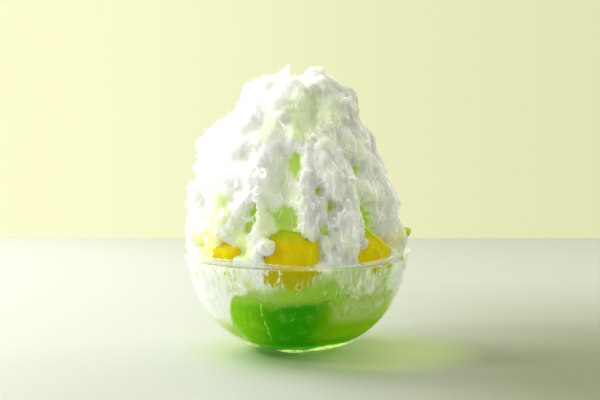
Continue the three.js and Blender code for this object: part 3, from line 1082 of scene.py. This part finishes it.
# thin shavings that stand off the heap, strands that hang down it, and fine fibres over it
# all widths, lengths and steps in mm
shavings = {
    "count": 300,
    "width": (1.4, 3.2),
    "length": (2.5, 7),
    "strandCount": 160,
    "strandWidth": (1.1, 1.8),
    "strandLength": (9, 30),
    "strandStep": 1.5,
    "fibreCount": 1000,
    "fibreWidth": (0.4, 1.0),
    "fibreLength": (5, 16),
    "fibreStep": 1.8,
    "fuzzCount": 1800,
    "fuzzWidth": (0.3, 0.7),
    "fuzzLength": (1.2, 3.8),
    "curlHalf": 0.6,
    "curlLift": 0.8,
}


def surfaceOf(piece):
    points = [vertex.co for vertex in piece.data.vertices]
    return BVHTree.FromPolygons(points, [face.vertices[:] for face in piece.data.polygons])


def flakeShape():
    # a curled plate, one by one, with its curl upwards
    flake = newPiece("flake", bpy.ops.mesh.primitive_grid_add, x_subdivisions=3, y_subdivisions=4, size=1)

    def curled(point):
        narrow = 1 - 0.9 * point.y * point.y
        return Vector((point.x * narrow, point.y, 0.9 * point.x ** 2 + 0.7 * point.y ** 2))

    moveVertices(flake, curled)
    applyModifier(flake, "SOLIDIFY", thickness=0.08, offset=0)
    points = [vertex.co.copy() for vertex in flake.data.vertices]
    faces = [tuple(face.vertices) for face in flake.data.polygons]
    bpy.data.objects.remove(flake)
    return points, faces


def surfaceSpots(piece, count, draw, weight):
    # places and normals on the piece, by area and by the weight of each place
    faces = [face for face in piece.data.polygons if face.center.z > bowl["rimHeight"] + 2 * mm]
    chances = [face.area * weight(face.center) for face in faces]
    return [(face.center.copy(), face.normal.copy()) for face in draw.choices(faces, chances, k=count)]


def inHollow(place):
    azimuth, radius = heapPlace(place)
    return any(far < 1.3 for far, last in nearness(hollows + windows, azimuth, radius, place.z, 0))


def makeFlakes(base):
    draw = random.Random(5)
    shape, shapeFaces = flakeShape()

    def weight(place):
        return 0 if inHollow(place) or place.z > 156 * mm else 1 + sector(heapPlace(place)[0], -150, -50, 40)

    points = []
    faces = []
    for place, normal in surfaceSpots(base, shavings["count"], draw, weight):
        lean = Vector((draw.gauss(0, 0.4), draw.gauss(0, 0.4), draw.gauss(0.1, 0.4)))
        facing = (normal + lean).normalized()
        along = Vector((draw.gauss(0, 0.35), draw.gauss(0, 0.35), -1)) + 0.7 * normal * draw.random()
        side = along.cross(facing).normalized()
        along = facing.cross(side)
        wide = draw.uniform(*shavings["width"]) * mm
        long = draw.uniform(*shavings["length"]) * mm
        start = len(points)
        for corner in shape:
            lift = corner.z * wide * 0.6 - 0.15 * mm
            points.append(place + side * (corner.x * wide) + along * (corner.y * long) + facing * lift)
        faces += [tuple(start + k for k in face) for face in shapeFaces]
    return pieceFrom("iceFlakes", points, faces)


def downSlope(surface, start, steps, step, drift, draw, loose):
    # places and normals from the start down along the surface
    path = [start]
    while len(path) < steps and path[-1][0].z > bowl["rimHeight"] + 4 * mm:
        spot, up = path[-1]
        down = (Vector((0, 0, -1)) + up * up.z).normalized()
        down += up.cross(down).normalized() * (drift + draw.gauss(0, loose))
        found = surface.find_nearest(spot + down.normalized() * step * mm)
        path.append((found[0], (up * 0.7 + found[1] * 0.3).normalized()))
    return path


def makeStrands(base):
    draw = random.Random(8)
    surface = surfaceOf(base)

    def weight(place):
        low = 1 - smoothStep(place.z, 115 * mm, 140 * mm)
        return 0.15 + smoothStep(heapPlace(place)[0], -30, 30) * low

    points = []
    faces = []
    for start in surfaceSpots(base, shavings["strandCount"], draw, weight):
        steps = int(draw.uniform(*shavings["strandLength"]) / shavings["strandStep"])
        path = downSlope(surface, start, steps, shavings["strandStep"], draw.gauss(0, 0.12), draw, 0.1)
        while path and inHollow(path[-1][0]):
            path.pop()
        wide = draw.uniform(*shavings["strandWidth"]) * mm / 2
        if len(path) > 3:
            addRope(points, faces, path, wide, 6, 0)
    piece = pieceFrom("iceStrands", points, faces)
    turnOutwards(piece)
    return piece


# bright curled edges of single shavings, lit by the fibres' painted glow: azimuth and height along each
curls = [
    [(9, 147), (3, 145.5), (0.5, 141), (0.4, 137)],
    [(-11.5, 132.5), (-7, 129.5), (-4.6, 125)],
    [(18, 101.5), (14.6, 97.5), (13, 93)],
    [(42.6, 96), (41, 86), (38.5, 77), (35.5, 71)],
    [(4, 84), (3, 78.5), (4.5, 71), (5.7, 67.5)],
    [(-16, 98), (-23, 92.5), (-29, 85), (-36.5, 74)],
    [(150, 120), (146, 112), (147, 104)],
    [(215, 130), (220, 124), (228, 121)],
    [(100, 110), (104, 102), (103, 94), (99, 88)],
]


def curlPath(surface, spots):
    # the spots' smooth line, dropped on to the surface
    path = []
    for (azimuth, height), (nextAzimuth, nextHeight) in zip(spots, spots[1:]):
        for k in range(5):
            around = azimuth + (nextAzimuth - azimuth) * k / 5
            up = (height + (nextHeight - height) * k / 5) * mm
            outside = onHeap(around, 90 * mm, up)
            found = surface.ray_cast(outside, onHeap(around, 0, up) - outside)
            path.append((found[0] + polar(around, 0.7 * mm, 0), polar(around, 1, 0)))
    steady = [path[0]]
    for before, here, after in zip(path, path[1:], path[2:]):
        steady.append(((before[0] + 2 * here[0] + after[0]) / 4, after[1]))
    return steady


def makeFibres(base):
    draw = random.Random(21)
    surface = surfaceOf(base)

    def weight(place):
        return 0.12 + sector(heapPlace(place)[0], -10, 150, 50)

    def fuzzy(place):
        smooth = smoothStep(place.x, 5 * mm, 25 * mm) * (0.3 + 0.5 * smoothStep(place.z, 115 * mm, 135 * mm))
        return 0 if inHollow(place) else 1 - smooth

    points = []
    faces = []
    for start in surfaceSpots(base, shavings["fibreCount"], draw, weight):
        steps = int(draw.uniform(*shavings["fibreLength"]) / shavings["fibreStep"])
        path = downSlope(surface, start, steps, shavings["fibreStep"], draw.gauss(0, 0.25), draw, 0.15)
        path = [(spot + up * 0.25 * mm, up) for spot, up in path]
        if len(path) > 2:
            addRibbon(points, faces, path, draw.uniform(*shavings["fibreWidth"]) * mm / 2)
    for spot, normal in surfaceSpots(base, shavings["fuzzCount"], draw, fuzzy):
        loose = Vector((draw.gauss(0, 1), draw.gauss(0, 1), draw.gauss(0, 1)))
        ahead = (normal * draw.uniform(0.3, 1) + loose * 0.6).normalized()
        long = draw.uniform(*shavings["fuzzLength"]) * mm
        bend = loose.cross(ahead).normalized()
        path = [(spot + ahead * long * k / 4 + bend * long * 0.3 * (k / 4) ** 2, loose) for k in range(5)]
        addRibbon(points, faces, path, draw.uniform(*shavings["fuzzWidth"]) * mm / 2)
    for spots in curls:
        path = curlPath(surface, spots)
        addRope(points, faces, path, shavings["curlHalf"] * mm, 8, shavings["curlLift"] * mm)
    return pieceFrom("iceFibres", points, faces)


def makeFibreFinish():
    thin = Recipe("iceFibre", Base_Color=ice["white"], Roughness=0.5, IOR=1.31)
    # painted light: the fibres glow, more on the left where the light falls
    lit = thin.spread(thin.axis("X"), 0, -38 * mm, 0.3, 0.9)
    thin.glow(lit, (1, 1, 1), 0.75)
    thin.set(Alpha=thin.spread(thin.noise(4 * mm), 0.35, 0.65, 0.1, 0.5))
    return thin.material


heap, packed = makeIce()
flakes = makeFlakes(heap)
fibres = makeFibres(heap)
applyModifier(heap, "DECIMATE", ratio=ice["kept"])
dress(heap, makeIceFinish(), "white_ice", "shaved_ice")
dress(packed, makePackedFinish(), "white_ice", "shaved_ice")
print("shaved ice made", len(heap.data.polygons), len(packed.data.polygons))
fibreFinish = makeFibreFinish()
dress(flakes, fibreFinish, "white_ice", "shaved_ice")
dress(fibres, fibreFinish, "white_ice", "shaved_ice")
print("shavings made")


# the mango slices: azimuth, tilt, taper to the right, lean outwards, share of the height above
# the middle, and the mm that the part under the rim reaches into the glass, or None for clear of it
slices = [
    (-44, 0.2, -0.2, -0.3, 0.9, None),
    (-3, -0.12, 0, -0.4, 0.9, 1.2),
    (45, -0.35, 0.35, 0, 0.75, None),
    (88, 0, 0.1, 0.6, 0.7, 1.2),
    (133, 0.12, -0.2, 0, 1, 1.2),
    (178, -0.1, 0.2, 0, 1, 1.2),
    (223, 0.08, 0.1, 0, 1, 1.2),
]


def makeMangoSlice(number, place, tilt, taper, lean, tall, reach):
    half = mango["halfSize"]
    piece = newPiece(f"mangoSlice{number}", bpy.ops.mesh.primitive_cube_add, size=2)
    piece.scale = half
    settle()
    inEditMode(
        piece,
        (bpy.ops.mesh.bevel, {"offset": mango["rounding"], "segments": 3, "affect": "EDGES"}),
        (bpy.ops.mesh.subdivide, {"number_cuts": 5}),
    )
    applyModifier(piece, "SUBSURF", levels=1, render_levels=1)

    def bent(point):
        across = point.x
        azimuth = place + math.degrees(across / mango["face"])
        rise = point.z * (tall if point.z > 0 else 1)
        height = mango["height"] + rise * (1 - taper * across / half.x) + tilt * across
        above = max(0, height - bowl["rimHeight"] - mango["leanStart"])
        wobble = noise.fractal(point / (7 * mm) + Vector((number * 9, 0, 0)), 1, 2, 2)
        grain = Vector((across / (1.5 * mm), point.y / (1.5 * mm), point.z / (9 * mm) + number))
        radius = mango["face"] - half.y - point.y + lean * above
        radius += mango["wobble"] * wobble + mango["fibre"] * noise.noise(grain)
        if height < rimTop(azimuth) - 0.5 * mm:
            streak = noise.fractal(Vector((place + across / mm, height / (12 * mm), 1)) / 2.5, 1, 2, 3)
            pressed = -2 if reach is None else reach + 1.5 * streak
            radius = min(radius, innerWall(height) + pressed * mm)
        return polar(azimuth, radius, height + 0.5 * mm * wobble)

    moveVertices(piece, bent)
    turnOutwards(piece)
    return piece


def makeMangoFinish():
    fruit = Recipe("mangoFlesh", Subsurface_Weight=0.4, Subsurface_Scale=4 * mm, IOR=1.38)
    fruit.set(Subsurface_Radius=(1.0, 0.75, 0.1), Specular_IOR_Level=0.12)
    fibre = fruit.noise(1.3 * mm, 4.0, stretch=7)
    patches = fruit.noise(9 * mm)
    height = fruit.axis("Z") + 8 * mm * (fruit.noise(3 * mm, 3.0) - 0.5)
    colour = fruit.cover(mango["gold"], patches, 0.35, 0.7, mango["deep"])
    colour = fruit.mix(0.3 * fruit.spread(fibre, 0.5, 0.8), colour, mango["light"])
    colour = fruit.cover(colour, height, 66 * mm, 72 * mm, mango["steeped"])
    colour = fruit.cover(colour, height, 71 * mm, 75 * mm, ice["deep"])
    colour = fruit.mix(0.9 * fruit.spread(height, 55 * mm, 51 * mm), colour, mango["sunken"])
    fruit.set(Base_Color=colour, Roughness=fruit.spread(patches, 0.3, 0.7, 0.25, 0.45))
    # painted light: the flesh glows a little, more towards the right
    fruit.glow(fruit.spread(fruit.axis("X"), 15 * mm, 35 * mm, 0.3, 1), colour, 0.12)
    fruit.bump(fibre, 0.25 * mm, 0.5)
    return fruit.material


mangoFinish = makeMangoFinish()
for number, shape in enumerate(slices, 1):
    dress(makeMangoSlice(number, *shape), mangoFinish, "mango", f"mango_slice_{number}")
print("mango made")


# table, wall, light and camera

# places and sizes in metres
stage = {
    "tableSize": 6,
    "wallSize": 4,
    "wallPlace": 0.65,
    "table": (0.44, 0.463, 0.425),
    # the table's painted shadow, then its painted green light from the syrup
    "tablePaintedShadow": (0.20, 0.22, 0.13),
    "paintedCausticGreen": (0.40, 0.54, 0.16),
    "causticSpot": (0.02, -0.01),
    "paintedCausticGlow": (0.13, 0.16, 0.05),
    "causticGlowSpot": (0.05, -0.015),
    "wallLeft": (0.98, 0.985, 0.64),
    "wallRight": (0.76, 0.78, 0.46),
    "skyLight": (0.96, 1.0, 0.82),
    "skyStrength": 0.73,
    "skySeen": (0.86, 0.88, 0.62),
    "cameraPlace": (0.00143, -0.8115, 0.1442),
    "cameraTilt": 4.1,           # degrees down
    "lens": 85,
    "sensor": 36,
}

# place, the height it aims at, size, power, colour
lights = {
    "window": ((-0.62, 0.42, 0.62), 0.07, 0.6, 10, (0.97, 0.98, 1.0)),
    "softBox": ((-1.25, -0.2, 0.95), 0.07, 0.45, 10, (1, 1, 1)),
    "strip": ((0.75, 0.55, 0.45), 0.05, 0.16, 1.6, (1, 1, 1)),
}


def squareAway(recipe, spot):
    # the squared distance from a spot on the table
    across = recipe.axis("X") - spot[0]
    along = recipe.axis("Y") - spot[1]
    return across * across + along * along


def makeTable():
    middle = stage["wallPlace"] - stage["tableSize"] / 2
    plane = {"size": stage["tableSize"], "location": (0, middle, 0)}
    table = newPiece("table", bpy.ops.mesh.primitive_plane_add, **plane)
    settle()
    cloth = Recipe("tableTop", Roughness=0.55)
    # painted shadow: darker towards the right and front, where the bowl's shadow falls
    paintedShade = cloth.spread(cloth.axis("X"), -0.04, 0.2) * cloth.spread(cloth.axis("Y"), 0.35, -0.12)
    colour = cloth.mix(paintedShade, stage["table"], stage["tablePaintedShadow"])
    # painted light: a green pool and a glow on the table beside the bowl, for light through the syrup
    green = cloth.spread(squareAway(cloth, stage["causticSpot"]), 0.009, 0.001)
    cloth.set(Base_Color=cloth.mix(0.45 * green, colour, stage["paintedCausticGreen"]))
    cloth.glow(cloth.spread(squareAway(cloth, stage["causticGlowSpot"]), 0.004, 0.0), stage["paintedCausticGlow"], 1.0)
    table.data.materials.append(cloth.material)


def makeWall():
    middle = (0, stage["wallPlace"], stage["wallSize"] / 2)
    plane = {"size": stage["wallSize"], "location": middle, "rotation": (math.pi / 2, 0, 0)}
    wall = newPiece("backWall", bpy.ops.mesh.primitive_plane_add, **plane)
    settle()
    paint = Recipe("backdropGlow", Base_Color=(0, 0, 0), Roughness=1.0, Specular_IOR_Level=0.0)
    # painted light: the wall glows, brighter on the left where the room's light falls on it
    light = paint.cover(stage["wallLeft"], paint.axis("X"), -0.35, 0.35, stage["wallRight"])
    paint.set(Emission_Color=light, Emission_Strength=1.0)
    wall.data.materials.append(paint.material)


def addLight(name, place, aim, size, power, colour):
    light = bpy.data.lights.new(name, "AREA")
    light.shape = "DISK"
    light.size = size
    light.energy = power
    light.color = colour
    lamp = bpy.data.objects.new(name, light)
    bpy.context.collection.objects.link(lamp)
    lamp.location = place
    lamp.rotation_euler = (Vector((0, 0, aim)) - Vector(place)).to_track_quat("-Z", "Y").to_euler()


def makeLight():
    # the room is seen brighter than it shines
    world = bpy.data.worlds.new("softRoom")
    bpy.context.scene.world = world
    world.use_nodes = True
    nodes = world.node_tree.nodes
    links = world.node_tree.links
    shine = nodes["Background"]
    shine.inputs["Color"].default_value = (*stage["skyLight"], 1)
    shine.inputs["Strength"].default_value = stage["skyStrength"]
    seen = nodes.new("ShaderNodeBackground")
    seen.inputs["Color"].default_value = (*stage["skySeen"], 1)
    either = nodes.new("ShaderNodeMixShader")
    links.new(nodes.new("ShaderNodeLightPath").outputs["Is Camera Ray"], either.inputs[0])
    links.new(shine.outputs[0], either.inputs[1])
    links.new(seen.outputs[0], either.inputs[2])
    links.new(either.outputs[0], nodes["World Output"].inputs["Surface"])
    for name, settings in lights.items():
        addLight(name, *settings)


def makeCamera():
    camera = bpy.data.cameras.new("camera")
    camera.lens = stage["lens"]
    camera.sensor_width = stage["sensor"]
    holder = bpy.data.objects.new("camera", camera)
    bpy.context.collection.objects.link(holder)
    holder.location = stage["cameraPlace"]
    holder.rotation_euler = (math.radians(90 - stage["cameraTilt"]), 0, 0)
    bpy.context.scene.camera = holder


makeTable()
makeWall()
makeLight()
makeCamera()
bpy.context.scene.view_settings.view_transform = "Standard"
print("stage, light and camera made")
